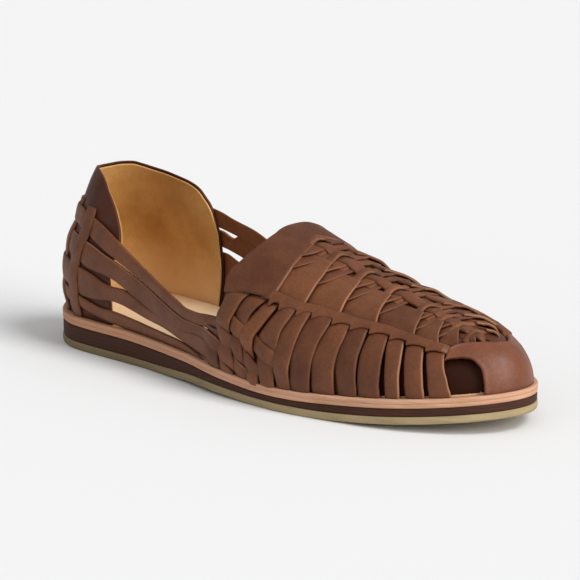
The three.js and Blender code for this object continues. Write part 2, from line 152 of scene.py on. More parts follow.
def sole_edge(angle):
    x = station_x(angle)
    heel = np.clip((HEEL_ROUND - x) / HEEL_ROUND, 0, 1)
    toe = np.clip((x - LENGTH + TOE_ROUND) / TOE_ROUND, 0, 1)
    rounding = np.sqrt(np.clip((1 - heel**HEEL_POWER) * (1 - toe**TOE_POWER), 0, 1))
    swing = np.clip((x - TOE_SWING_START) / (LENGTH - TOE_SWING_START), 0, 1)
    middle = TOE_SWING * swing**2
    side = np.where(np.sin(angle) < 0, -1.0, 1.0)
    width = np.where(side < 0, lateral_width(x) + middle, medial_width(x) - middle)
    return np.stack([x, middle + side * width * rounding], -1)


def sole_point(angle, inset=0.0):
    step = 1e-3
    along = sole_edge(angle + step) - sole_edge(angle - step)
    along /= np.linalg.norm(along, axis=-1, keepdims=True)
    inwards = np.stack([along[..., 1], -along[..., 0]], -1)
    return sole_edge(angle) + inwards * np.asarray(inset)[..., None]


def ground_height(x):
    toe = np.clip((x - TOE_SPRING_START) / (LENGTH - TOE_SPRING_START), 0, 1)
    arch = np.clip((x - ARCH_START) / (ARCH_END - ARCH_START), 0, 1)
    heel = np.clip(1 - x / HEEL_BEVEL, 0, 1)
    return TOE_SPRING * toe**1.55 + ARCH_RISE * np.sin(np.pi * arch) ** 2 + HEEL_BEVEL_RISE * heel**2


def wedge_top(x):
    return ground_height(x) + OUTSOLE + wedge_thickness(x)


def welt_top(x):
    return wedge_top(x) + WELT


TUCK = 40.0      # a climb below 0 goes this many millimetres down into the sole


def last_point(angle, climb):
    angle, climb = np.broadcast_arrays(np.asarray(angle, float), np.asarray(climb, float))
    station = station_x(angle)
    foot = sole_point(angle, ledge(station))
    top_x, top_y = ridge_x(station), ridge_y(station)
    base = welt_top(foot[..., 0]) + GAP
    turn = np.clip(climb, 0, 1) * np.pi / 2
    height = (ridge_height(top_x) - base) * np.sin(turn) ** (2 / square_up(top_x))
    swell = 1 + bulge(station) * np.sin(np.pi * np.clip(height / BULGE_HEIGHT, 0, 1))
    reach = swell * np.clip(np.cos(turn), 0, 1) ** (2 / square_across(top_x))
    return np.stack([
        top_x + (foot[..., 0] - top_x) * reach,
        top_y + (foot[..., 1] - top_y) * reach,
        base + height + np.minimum(climb, 0) * TUCK,
    ], -1)


def last_normal(angle, climb):
    step = 1e-3
    angle, climb = np.broadcast_arrays(np.asarray(angle, float), np.asarray(climb, float))
    c = np.clip(climb, step, 1 - 2 * step)
    along = last_point(angle + step, c) - last_point(angle - step, c)
    up = last_point(angle, c + step) - last_point(angle, c - step)
    normal = np.cross(up, along)
    normal[..., 1] = np.where(climb > 1 - step, 0, normal[..., 1])
    return normal / np.linalg.norm(normal, axis=-1, keepdims=True)


def wall_base(angle):
    """Foot of the wall, its height, and x and y of the ridge at an angle."""
    station = station_x(angle)
    foot = sole_point(angle, ledge(station))
    return foot, welt_top(foot[..., 0]) + GAP, ridge_x(station), ridge_y(station)


def climb_at_height(angle, z):
    foot, base, top_x, _ = wall_base(np.asarray(angle, float))
    part = np.clip((z - base) / (ridge_height(top_x) - base), 0, 1)
    climb = np.arcsin(part ** (square_up(top_x) / 2)) / (np.pi / 2)
    return np.where(z < base, (z - base) / TUCK, climb)


def climb_near_ridge(angle, distance):
    foot, _, top_x, top_y = wall_base(np.asarray(angle, float))
    part = np.clip(distance / np.abs(foot[..., 1] - top_y), 0, 1)
    return np.arccos(part ** (square_across(top_x) / 2)) / (np.pi / 2)


# ------------------------------------------------------------------ meshes

SHIFT = np.array([
    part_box("outsole")[0].x / MM,
    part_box("outsole")[0].y / MM - sole_edge(np.linspace(-np.pi, 0, 89))[:, 1].min(),
    0.0,
])


class Piece:
    """Gathers grids of points into one mesh with an edge and a tone value at each point."""

    def __init__(self, name):
        self.name, self.points, self.faces, self.edge, self.tone = name, [], [], [], []
        self.count = 0

    def add(self, points, faces, edge, tone):
        self.points.append(points)
        self.faces += (np.asarray(faces, dtype=object) + self.count).tolist() \
            if isinstance(faces, np.ndarray) else [[c + self.count for c in f] for f in faces]
        self.edge.append(edge)
        self.tone.append(np.full(len(points), tone))
        self.count += len(points)

    def make(self, material, stands_for):
        mesh = bpy.data.meshes.new(self.name)
        points = (np.concatenate(self.points) + SHIFT) * MM
        mesh.from_pydata(points.tolist(), [], self.faces)
        for key, values in (("edge", self.edge), ("tone", self.tone)):
            layer = mesh.attributes.new(key, "FLOAT", "POINT")
            layer.data.foreach_set("value", np.concatenate(values).astype(np.float32))
        mesh.shade_smooth()
        mesh.materials.append(material)
        piece = bpy.data.objects.new(self.name, mesh)
        bpy.context.scene.collection.objects.link(piece)
        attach(piece, "root")
        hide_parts(*stands_for)
        return piece


def edge_steps(width, round_off, middle):
    """Places from 0 to 1 across a strap this wide, close together where its edges round off."""
    near = np.array([0, 0.12, 0.45, 1.0]) * round_off / width
    inner = np.linspace(near[-1], 1 - near[-1], middle + 2)[1:-1]
    return np.concatenate([near, inner, 1 - near[::-1]])


def runs(surface):
    """Distances of a grid's points from its first and last column and first and last row."""
    across = np.cumsum(np.linalg.norm(np.diff(surface, axis=1), axis=-1), 1)
    across = np.concatenate([np.zeros((len(surface), 1)), across], 1)
    along = np.cumsum(np.linalg.norm(np.diff(surface, axis=0), axis=-1), 0)
    along = np.concatenate([np.zeros((1, surface.shape[1])), along], 0)
    return across, across[:, -1:] - across, along, along[-1:] - along


EDGE_BAND = 1.0      # how far an edge's paler tone reaches in


def add_slab(piece, angle, climb, top, thickness, tone=0.5, round_off=0.9, ends=(False, False),
             crown=0.0, raw=(0.5, 0.5)):
    """A leather piece on the last from grids of angle, climb and lift of its outer face.

    Rows go along the piece and columns across it. raw is how pale the edges at the first and
    last column are, and ends says whether the first and last row are rounded off too.
    """
    surface = last_point(angle, climb)
    normal = last_normal(angle, climb)
    first, last, start, end = runs(surface)
    free = [first, last]
    if ends[0]:
        free.append(start)
    if ends[1]:
        free.append(end)
    distance = np.minimum.reduce(free)
    inside = 1 - np.clip(distance / round_off, 0, 1)
    drop = 0.8 * round_off * (1 - np.sqrt(np.clip(1 - inside**2, 0, 1)))
    middle = np.maximum(distance.max(axis=1, keepdims=True), 1e-6)
    arch = crown * (1 - (1 - distance / middle) ** 2)
    high = surface + normal * (top - drop + arch)[..., None]
    low = surface + normal * (top - thickness)[..., None]
    n, m = angle.shape
    grid = np.arange(n * m).reshape(n, m)
    along, across = np.diff(surface[:, :-1], axis=0), np.diff(surface[:-1], axis=1)
    outward = np.sum(np.cross(along, across) * normal[:-1, :-1]) > 0

    def quads(rows):
        return np.stack([rows[:-1, :-1], rows[1:, :-1], rows[1:, 1:], rows[:-1, 1:]], -1)

    faces = [quads(grid).reshape(-1, 4), quads(grid + n * m).reshape(-1, 4)[:, ::-1]]
    for line in (grid[0], grid[::-1, 0], grid[:, -1], grid[-1, ::-1]):
        here, after = line[:-1], line[1:]
        faces.append(np.stack([here, after, after + n * m, here + n * m], 1))
    faces = np.concatenate(faces)
    if not outward:
        faces = faces[:, ::-1]
    edge = raw[0] * np.clip(1 - first / EDGE_BAND, 0, 1)
    edge = np.maximum(edge, raw[1] * np.clip(1 - last / EDGE_BAND, 0, 1))
    shade = np.concatenate([edge.ravel(), edge.ravel()])
    piece.add(np.concatenate([high.reshape(-1, 3), low.reshape(-1, 3)]), faces, shade, tone)


def wander(count, size, waves=2.0):
    """A slow random sway along a strap, so that no two lie alike."""
    t = np.linspace(0, 1, count)
    phase = rng.uniform(0, 2 * np.pi, 3)
    strength = rng.normal(0, 1, 3) / np.array([1.0, 1.6, 2.4])
    total = sum(s * np.sin(2 * np.pi * waves * (k + 1) * 0.5 * t + p)
                for k, (s, p) in enumerate(zip(strength, phase)))
    return size * total / 1.5

# ------------------------------------------------------------------ materials


def srgb(code):
    """A hex colour as the linear values the renderer works in."""
    parts = [int(code[i:i + 2], 16) / 255 for i in (1, 3, 5)]
    return tuple(p / 12.92 if p <= 0.04045 else ((p + 0.055) / 1.055) ** 2.4 for p in parts) + (1,)


class Shader:
    """A material's node tree, with short calls for the nodes used here."""

    def __init__(self, name, roughness, specular=0.4, sheen=0.0):
        self.material = bpy.data.materials.new(name)
        self.material.use_nodes = True
        self.tree = self.material.node_tree
        self.surface = self.tree.nodes["Principled BSDF"]
        self.surface.inputs["Roughness"].default_value = roughness
        self.surface.inputs["Specular IOR Level"].default_value = specular
        self.surface.inputs["Sheen Weight"].default_value = sheen
        self.place = self.tree.nodes.new("ShaderNodeTexCoord").outputs["Object"]

    def link(self, source, socket):
        self.tree.links.new(source, socket)

    def noise(self, scale, detail=3.0, rough=0.5, stretch=(1, 1, 1)):
        """Noise with features about 1/scale metres across."""
        mapping = self.tree.nodes.new("ShaderNodeMapping")
        mapping.inputs["Scale"].default_value = stretch
        self.link(self.place, mapping.inputs["Vector"])
        node = self.tree.nodes.new("ShaderNodeTexNoise")
        node.inputs["Scale"].default_value = scale
        node.inputs["Detail"].default_value = detail
        node.inputs["Roughness"].default_value = rough
        self.link(mapping.outputs["Vector"], node.inputs["Vector"])
        return node.outputs["Fac"]

    def attribute(self, name):
        node = self.tree.nodes.new("ShaderNodeAttribute")
        node.attribute_name = name
        return node.outputs["Fac"]

    def along(self, axis):
        node = self.tree.nodes.new("ShaderNodeSeparateXYZ")
        self.link(self.place, node.inputs["Vector"])
        return node.outputs[axis]

    def remap(self, value, low, high, to_low, to_high):
        node = self.tree.nodes.new("ShaderNodeMapRange")
        for key, number in zip(("From Min", "From Max", "To Min", "To Max"),
                               (low, high, to_low, to_high)):
            node.inputs[key].default_value = number
        self.link(value, node.inputs["Value"])
        return node.outputs["Result"]

    def mix(self, factor, first, second, blend="MIX"):
        node = self.tree.nodes.new("ShaderNodeMix")
        node.data_type, node.blend_type = "RGBA", blend
        self.set(factor, node.inputs[0])
        self.set(first, node.inputs[6])
        self.set(second, node.inputs[7])
        return node.outputs[2]

    def set(self, source, socket):
        if isinstance(source, (int, float, tuple)):
            socket.default_value = source
        else:
            self.link(source, socket)

    def bump(self, height, depth, after=None):
        node = self.tree.nodes.new("ShaderNodeBump")
        node.inputs["Strength"].default_value = 1.0
        node.inputs["Distance"].default_value = depth * MM
        self.link(height, node.inputs["Height"])
        if after is not None:
            self.link(after, node.inputs["Normal"])
        return node.outputs["Normal"]

    def crevice(self, reach):
        """Near 0 in narrow places, 1 in the open; the leather uses it to paint shade into crevices."""
        node = self.tree.nodes.new("ShaderNodeAmbientOcclusion")
        node.samples = 4
        node.inputs["Distance"].default_value = reach * MM
        return node.outputs["AO"]

    def finish(self, colour, normal=None, roughness=None):
        self.set(colour, self.surface.inputs["Base Color"])
        if normal is not None:
            self.link(normal, self.surface.inputs["Normal"])
        if roughness is not None:
            self.link(roughness, self.surface.inputs["Roughness"])
        return self.material


def leather(name, dark, light, edge, specular=0.32, shine=(0.44, 0.6)):
    """Oiled leather: each strap its own tone, mottled, with paler raw edges and painted shade in the
    crevices between straps.
    """
    s = Shader(name, 0.5, specular)
    tone = s.mix(s.attribute("tone"), srgb(dark), srgb(light))
    mottle = s.remap(s.noise(55, 4.0, 0.6), 0.3, 0.7, 0.0, 1.0)
    colour = s.mix(0.35, tone, s.mix(mottle, srgb(dark), srgb(light)))
    colour = s.mix(s.remap(s.noise(700, 2.0), 0.35, 0.65, 0.0, 0.22), colour, srgb(dark))
    colour = s.mix(s.remap(s.attribute("edge"), 0.35, 1.0, 0.0, 0.75), colour, srgb(edge))
    # Painted shade: narrow places between straps are darkened toward a near-black brown.
    colour = s.mix(s.remap(s.crevice(2.5), 0.3, 0.85, 0.75, 0.0), colour, srgb("#1f0d07"))
    grain = s.bump(s.noise(1500, 3.0, 0.6), 0.06)
    creases = s.bump(s.noise(160, 3.0, 0.6), 0.35, grain)
    gloss = s.remap(s.noise(90, 3.0), 0.3, 0.7, *shine)
    return s.finish(colour, creases, gloss)


def suede(name, dark, light, bottom_colour, depth=0.12):
    """A dry, slightly stained skin side of the leather, paler toward the bottom."""
    s = Shader(name, 0.75, 0.25, 0.1)
    stain = s.remap(s.noise(28, 4.0, 0.6), 0.3, 0.7, 0.0, 1.0)
    colour = s.mix(stain, srgb(dark), srgb(light))
    colour = s.mix(s.remap(s.noise(900, 2.0), 0.35, 0.65, 0.0, 0.25), colour, srgb(dark))
    colour = s.mix(s.remap(s.along("Z"), 0.022, 0.046, 0.7, 0.0), colour, srgb(bottom_colour))
    return s.finish(colour, s.bump(s.noise(1200, 3.0, 0.6), depth))


def stacked(name, dark, light, heel, lines, depth):
    """A cut sole edge: streaks that run along it, and another colour toward the heel, which on the gum
    outsole is painted shade.
    """
    s = Shader(name, 0.7, 0.18)
    streak = s.remap(s.noise(lines, 3.0, 0.6, (0.06, 0.06, 1)), 0.3, 0.7, 0.0, 1.0)
    patch = s.remap(s.noise(60, 3.0, 0.5), 0.3, 0.7, 0.0, 0.5)
    colour = s.mix(streak, srgb(dark), srgb(light))
    colour = s.mix(patch, colour, srgb(light))
    # Toward the heel the colour goes over to heel; on the gum outsole that colour is darker, as
    # painted shade.
    colour = s.mix(s.remap(s.along("X"), -0.08, 0.06, 0.8, 0.0), colour, srgb(heel))
    colour = s.mix(s.remap(s.attribute("edge"), 0.0, 1.0, 0.0, 0.6), colour, srgb(dark))
    return s.finish(colour, s.bump(s.noise(lines, 2.0, 0.5, (0.06, 0.06, 1)), depth))


BROWN = leather("brown_leather", "#431d0b", "#84502f", "#b07c5a")
POLISHED = leather("polished_leather", "#431b0b", "#874d31", "#b07c5a", 0.42, (0.4, 0.54))
# Darker leather for the heel counter: partly its own colour, partly painted shade for the gaps between
# the straps over it.
DARK = leather("counter_leather", "#3a1708", "#66351f", "#a87558", 0.18)
# Near-black leather for the sheet deep under the toe straps: painted shade for the dark inside of the
# toe.
TOE_SHADE = leather("toe_shade_leather", "#2a1208", "#38190c", "#3c2015", 0.08)
LINING = suede("tan_lining", "#a27034", "#cfa05e", "#e6c08e")
FOOTBED = suede("tan_footbed", "#d6a873", "#f4cf9c", "#f8dcb4")
WELTING = stacked("tan_welt", "#ae7c5d", "#cda284", "#b58466", 900, 0.1)
STACK = stacked("brown_stack", "#2a160f", "#4d2e22", "#43271b", 1100, 0.15)
# The gum outsole's darker heel colour is painted shade toward the heel.
CREPE = stacked("gum_outsole", "#8a7757", "#a89672", "#6e5f47", 700, 0.1)

# ------------------------------------------------------------------ sole


def add_layer(piece, rings, tone=0.5, steps=168):
    """A sole layer from rings (inset, z as a function of x, edge shade), lowest first."""
    half = np.linspace(0, np.pi, steps // 2 + 1)
    angle = np.concatenate([-half, half[-2:0:-1]])
    count = len(angle)
    points, shade = [], []
    for inset, height, edge in rings:
        flat = sole_point(angle, np.full(count, float(inset)))
        points.append(np.column_stack([flat, height(flat[:, 0])]))
        shade.append(np.full(count, edge))
    faces = []
    for ring in range(len(rings) - 1):
        for i in range(count):
            j = (i + 1) % count
            a, b = ring * count + i, ring * count + j
            faces.append([a, b, b + count, a + count])
    last = (len(rings) - 1) * count
    for i in range(steps // 2):
        left, right = i, (count - i) % count
        left_next, right_next = i + 1, (count - i - 1) % count
        quad = [left, right, right_next, left_next]
        corners = list(dict.fromkeys(quad))
        faces.append(corners)
        faces.append([last + c for c in reversed(corners)])
    piece.add(np.concatenate(points), faces, np.concatenate(shade), tone)


def level(base, lift):
    return lambda x: base(x) + lift


outsole = Piece("gum_outsole")
add_layer(outsole, [
    (1.2, level(ground_height, 0.0), 0.4), (0.5, level(ground_height, 0.12), 0.2),
    (0.15, level(ground_height, 0.5), 0.0), (0.0, level(ground_height, 1.1), 0.0),
    (0.0, level(ground_height, OUTSOLE - 0.5), 0.0), (0.15, level(ground_height, OUTSOLE - 0.1), 0.5),
    (0.5, level(ground_height, OUTSOLE), 1.0),
])
outsole.make(CREPE, ["outsole"])


def above_outsole(x):
    return ground_height(x) + OUTSOLE


def wedge_level(part, lift=0.0):
    return lambda x: above_outsole(x) + wedge_thickness(x) * part + lift


stack = Piece("stacked_wedge")
add_layer(stack, [
    (0.7, wedge_level(0, 0.0), 1.0), (0.45, wedge_level(0, 0.3), 0.5), (0.25, wedge_level(0.2), 0.0),
    (0.3, wedge_level(0.32), 0.5), (0.2, wedge_level(0.45), 0.0), (0.3, wedge_level(0.6), 0.4),
    (0.2, wedge_level(0.75), 0.0), (0.35, wedge_level(1, -0.3), 0.5), (0.7, wedge_level(1, 0.05), 1.0),
])
stack.make(STACK, ["heel_wedge"])

welt = Piece("leather_welt")
add_layer(welt, [
    (0.6, level(wedge_top, 0.05), 0.8), (0.15, level(wedge_top, 0.3), 0.2),
    (0.0, level(wedge_top, 0.7), 0.0), (0.0, level(wedge_top, 1.5), 0.0),
    (0.0, level(wedge_top, 2.0), 0.0), (0.25, level(wedge_top, 2.2), 0.7),
    (0.0, level(wedge_top, 2.4), 0.0), (-0.1, level(wedge_top, 3.0), 0.0),
    (-0.1, level(wedge_top, WELT - 0.6), 0.0), (0.1, level(wedge_top, WELT - 0.15), 0.0),
    (0.5, level(wedge_top, WELT), 0.0), (2.4, level(wedge_top, WELT), 0.0),
    (3.4, level(wedge_top, WELT - 0.1), 0.5), (7.0, level(wedge_top, WELT - 0.1), 0.6),
])
welt.make(WELTING, ["welt"])

insole = Piece("insole")
INSOLE_INSET = 6.2
add_layer(insole, [
    (INSOLE_INSET, level(welt_top, -0.4), 0.0), (INSOLE_INSET, level(welt_top, INSOLE - 0.5), 0.0),
    (INSOLE_INSET + 0.2, level(welt_top, INSOLE - 0.1), 0.0),
    (INSOLE_INSET + 0.7, level(welt_top, INSOLE), 0.0),
    (INSOLE_INSET + 12, level(welt_top, INSOLE - 0.2), 0.0),
])
insole.make(FOOTBED, ["insole"])

# ------------------------------------------------------------------ upper

SIDES = (("lateral", -1), ("medial", 1))
FOOT = -0.03          # straps end a little below the top of the welt


def bump(distance, half_width):
    """1 at the middle of a crossing, 0 from half_width on."""
    return 0.5 + 0.5 * np.cos(np.pi * np.clip(np.abs(distance) / half_width, 0, 1))


def strap_grid(side, rear, front, climb, steps):
    """Angles and climbs between a rear and a front edge given as x along the climbs."""
    x = rear[:, None] + (front - rear)[:, None] * steps[None, :]
    return angle_at(x, side), np.repeat(climb[:, None], len(steps), 1)


# Straps from the sole up to the edge strip: x of the rear and of the front edge at climbs.
# The first one ends under the long straps, and the first seven are woven with them.
STRAP_CLIMBS = (FOOT, 0.05, 0.1, 0.2, 0.3, 0.4, 0.5, 0.56)
STRAPS = (
    ((138.5, 136.5, 135.5, 136, 137, 138, 139, 139), (149, 147.2, 146.3, 146, 146, 146, 146, 146)),
    ((149, 147.5, 146.5, 144.8, 146.3, 148, 152, 155), (159.5, 158.9, 157, 154, 156, 159.2, 164, 167)),
    ((159.5, 159, 157.5, 155.2, 156.8, 160.5, 166, 169),
     (168, 167.5, 165.5, 163.2, 165, 169.3, 173.5, 176)),
    ((168, 166.5, 163.5, 162.6, 165.8, 170.4, 174.5, 177),
     (177, 174.5, 171, 170.8, 174.2, 177.8, 179.5, 181)),
    ((177.5, 175.5, 173, 173.1, 176.3, 179.8, 183, 185),
     (187, 186, 185.2, 185.6, 186, 188.2, 190, 191)),
    ((187, 186, 185.5, 185.8, 186.3, 188.5, 190.5, 191.5),
     (196.5, 195.5, 195.1, 195.5, 196.3, 197, 197.8, 198.2)),
    ((196.5, 195.5, 195.2, 195.6, 196.3, 197, 197.8, 198.2),
     (207, 206.9, 206.9, 206.9, 207.8, 208.8, 209.2, 209.2)),
    ((207.5, 207, 207, 206.5, 207.4, 208.4, 209, 209),
     (221, 220.8, 220.4, 219.8, 219.8, 220.1, 219.3, 219)),
    ((222, 221.5, 221, 220, 219.9, 220.2, 219.5, 219),
     (233, 232.9, 232.4, 231.4, 230.8, 230.4, 229.6, 229)),
    ((233.5, 233, 232.6, 231.8, 231, 230.4, 229.8, 229),
     (245.2, 244.9, 244.5, 244, 243.3, 242.4, 240.9, 240)),
    ((247.4, 247.2, 246.9, 246, 244.6, 242.8, 241, 240),
     (254.8, 254.6, 254.3, 253.6, 252.8, 251.8, 250.2, 249)),
    ((257.2, 257, 256.6, 255.7, 254.4, 252.8, 251, 250),
     (266, 265.8, 265.4, 264.6, 263.5, 262.2, 260.6, 259.6)),
    ((267.6, 267.4, 267.1, 266.3, 265, 263.4, 261.6, 260.5),
     (276.9, 276.7, 276.2, 275, 273.4, 272, 270.9, 270.3)),
)
STRAP_TONES = (0.3, 0.55, 0.35, 0.85, 0.6, 0.45, 0.25, 0.55, 0.2, 0.3, 0.6, 0.5, 0.4)
WOVEN = 7             # how many straps the long ones are woven through
TOUCHING = 9          # how many lie edge over edge; the rest stand apart

# Long straps from the side plaits round the heel: height of the upper and lower edge at x, on
# the outer side and then on the inner side.
LONG_STRAPS = {
    "heel_strap_1": (table(
        "x top bottom", (0, 70.2, 62), (20, 69.4, 61), (33, 67.4, 58.5), (43, 65.2, 55.4),
        (52, 62.2, 52.3), (60, 58.9, 49.8), (73, 52.9, 45.2), (85, 47.5, 40.8), (97, 42.8, 36.4),
        (109, 38.8, 32.6), (118, 36.3, 30.6), (126, 36.2, 30.2), (134, 37, 30.6),
        (141, 37.2, 30.4), (146, 35.6, 28.4), (150, 33.4, 25.8), (158, 29.9, 22.1),
        (166, 25.7, 17.9), (174, 20.3, 12.7), (184, 14.3, 6.7)),
        table(
        "x top bottom", (0, 70.2, 62), (20, 70, 61.6), (40, 69.4, 60.6), (56, 68.3, 59.6),
        (72, 66.4, 58), (82, 63.8, 56.3), (97, 60.6, 53), (110, 55.2, 48), (122, 49.6, 42.6),
        (134, 43.8, 36.8), (144, 38.6, 31.4), (150, 34.6, 27), (158, 29.9, 22.1),
        (166, 25.7, 17.9), (174, 20.3, 12.7), (184, 14.3, 6.7))),
    "heel_strap_2": (table(
        "x top bottom", (0, 58.2, 49.8), (20, 57, 46.5), (35, 54.9, 43.6), (42, 53.6, 42),
        (51, 51.2, 41.2), (60, 48.9, 39.6), (67, 46.7, 37.2), (74, 44.4, 34), (85, 40.4, 29.8),
        (97, 36, 26), (109, 32.4, 24), (117, 30.8, 24), (126, 30.6, 25), (136, 30.3, 23.7),
        (143, 28.7, 21.3), (150, 25.3, 17.5), (158, 21.4, 13.6), (166, 17.4, 9.6),
        (173, 13.3, 5.7)),
        table(
        "x top bottom", (0, 58.2, 49.8), (20, 58, 49.6), (40, 57.6, 49), (56, 57, 48.6),
        (72, 56.2, 48), (80, 53.8, 46.6), (85, 56.2, 45.4),
        (97, 53.8, 41.4), (110, 48.6, 37), (122, 42.6, 32), (134, 34.4, 27), (143, 29.6, 22.6),
        (150, 25.6, 17.9), (158, 21.4, 13.6), (166, 17.4, 9.6), (173, 13.3, 5.7))),
    "heel_strap_3": (table(
        "x top bottom", (0, 45.7, 36.2), (18, 44, 31.5), (33, 42, 28.2), (42, 40.6, 27.4),
        (50, 38.2, 27.8), (55, 36.8, 28.6), (60, 36.3, 28.8), (66, 36.4, 28.2), (74, 34.4, 26.6),
        (85, 30.6, 24.3), (97, 28.4, 22.6), (109, 26.3, 20.2), (116, 25.4, 18.9), (128, 26, 17.2),
        (138, 24.6, 15.2), (147, 20.4, 11.8), (158, 13.3, 5.7)),
        table(
        "x top bottom", (0, 45.7, 36.2), (20, 45.4, 34), (40, 45.2, 33), (56, 45, 34),
        (72, 44.8, 30), (81, 42, 29), (97, 36.4, 26.5), (110, 31.8, 25.4), (122, 27.8, 21.6),
        (134, 24.2, 17.6), (142, 21.4, 14.2), (147, 19.4, 11.8), (158, 13.3, 5.7))),
    "heel_strap_4": (table(
        "x top bottom", (0, 32, 24), (20, 30, 23), (36, 27.2, 21.2), (42, 25.9, 19.8),
        (50, 24.4, 18.4), (60, 23.9, 17), (74, 22.5, 15.8), (85, 21.2, 15), (97, 20.3, 14.6),
        (109, 19.6, 14), (118, 18.4, 13), (136, 13.2, 8.7)),
        table(
        "x top bottom", (0, 32, 24), (20, 30.6, 23.2), (42, 28.6, 21.4), (60, 29.4, 19.8),
        (74, 29.8, 18.2), (85, 26, 17), (97, 22.2, 15.6), (109, 20.6, 14.4), (118, 18.8, 13),
        (136, 13.2, 8.7))),
}
SHORT_STRAP = table(
    "x top bottom", (147, 42.8, 35.2), (156, 39.7, 31.9), (164.5, 36.3, 28.5),
    (176.8, 30.9, 23.1), (186, 27.5, 19.7), (192, 24.4, 16.8), (198, 20.4, 12.8))


def weavers(side):
    """The straps woven through one side's plait, uppermost first."""
    chosen = 0 if side < 0 else 1
    return [SHORT_STRAP] + [pair[chosen] for pair in LONG_STRAPS.values()][:3]


def strap_middle(rows, x):
    return (curve(rows, "top")(x) + curve(rows, "bottom")(x)) / 2


# Upright straps in the heel: distance round the heel from its back, top height. The foremost
# one on each side leans, so x of its front edge is given at heights instead, and it lies over
# the long straps where the others are woven with them.
HEEL_COLUMNS = table("arc top", (-46, 71.5), (-29, 74), (-12, 70), (12, 70), (29, 74), (46, 74))
FOREMOST = table("z x", (10, 34), (28, 33.6), (38, 33.1), (45, 33.6), (53, 35.2), (62, 37.4),
                 (68, 37), (72.6, 34.5), (76.5, 27))
COLUMN_WIDTH = 8.5

PLAIT_LIFT, PLAIT_SWING, PLAIT_THICK = 1.2, 1.15, 1.5
CROSSING = 8.4


def strap_edges(index):
    """Curves of x against climb for one strap's rear and front edge."""
    rear, front = STRAPS[index]
    return (curve({"x": np.array(STRAP_CLIMBS), "v": np.array(rear, float)}, "v"),
            curve({"x": np.array(STRAP_CLIMBS), "v": np.array(front, float)}, "v"))


def crossings(index, side):
    """Places (weaver, x, z, sign) where a strap meets weavers; sign +1 where it's on top."""
    found = []
    rear, front = strap_edges(index)
    climbs = np.linspace(FOOT, 0.45, 120)
    xs = (rear(climbs) + front(climbs)) / 2
    zs = last_point(angle_at(xs, side), climbs)[:, 2]
    for row, weaver in enumerate(weavers(side)):
        reach = (xs >= weaver["x"][0] - 2) & (xs <= weaver["x"][-1])
        gap = np.where(reach, np.abs(zs - strap_middle(weaver, xs)), 99)
        best = gap.argmin()
        if gap[best] < 1.5:
            found.append((row, xs[best], zs[best], 1 if (row + index) % 2 else -1))
    return found


MEETINGS = {side: [crossings(i, side) for i in range(WOVEN)] for _, side in SIDES}

# The strips along both sides of the vamp: climb of the lower edge, and its stepped line.
EDGE_LINE = table(
    "x climb", (150, 0.395), (162, 0.432), (171.4, 0.452), (180, 0.462), (190, 0.475),
    (198.6, 0.503), (209, 0.517), (219, 0.522), (229, 0.541), (239, 0.55), (249, 0.545),
    (260, 0.53), (271, 0.51), (276, 0.50))
EDGE_WIDTH = 5.6
EDGE_STEP = 0.042     # how far the line drops just in front of each strap's front corner
edge_low = curve(EDGE_LINE, "climb")
STRAP_TOPS = np.array([front[-2] for _, front in STRAPS[1:]])


def stepped(x):
    """0 at a strap's front corner, -1 just in front of it, 0 again along the next strap."""
    phase = np.interp(x, STRAP_TOPS, np.arange(len(STRAP_TOPS), dtype=float)) % 1
    rising = -(1 - np.clip((phase - 0.1) / 0.6, 0, 1)) ** 2
    return np.where(phase < 0.1, -np.clip(phase / 0.1, 0, 1), rising)


def side_strap(piece, side, index):
    """One of the straps that rise from the sole to the edge strip."""
    rear, front = strap_edges(index)
    woven = index < WOVEN
    top = 0.17 if index == 0 else float(edge_low(front(0.5))) + 0.045
    climb = np.linspace(FOOT, top, 70 if woven else 40)
    tuck = (1.6 if index < TOUCHING else 0.0) * np.clip((climb - 0.1) / 0.15, 0, 1)
    sway = wander(len(climb), 0.12)
    steps = edge_steps(9.0, 0.9, 8)
    angle, grid_climb = strap_grid(side, rear(climb) - tuck + sway, front(climb) - 0.2 + sway,
                                   climb, steps)
    z = last_point(angle[:, 6], climb)[:, 2]
    lift = np.full(len(climb), PLAIT_LIFT if woven else 0.9)
    for _, _, at, sign in (MEETINGS[side][index] if woven else ()):
        lift = lift + sign * PLAIT_SWING * bump(z - at, CROSSING)
    if index == 0:
        lift -= 1.5 * np.clip((climb - 0.1) / 0.07, 0, 1)
    else:
        early, deep = (0.13, 2.9) if index < 4 else (0.1, 1.3)
        lift -= deep * np.clip((climb - top + early) / 0.09, 0, 1) ** 2
    tilt = (0.6 + 1.3 * np.clip((climb - 0.15) / 0.2, 0, 1)) if woven else 1.6
    if index >= TOUCHING:
        tilt = 0.9
    lift = lift[:, None] + (steps[None, :] - 0.5) * (tilt + 0 * climb)[:, None]
    lift += wander(len(climb), 0.12)[:, None]
    paleness = 1.0 if index > TOUCHING else rng.uniform(0.15, 0.75)
    add_slab(piece, angle, grid_climb, lift, PLAIT_THICK, STRAP_TONES[index],
             crown=0.7 if woven else 0.4, raw=(0.1, paleness))


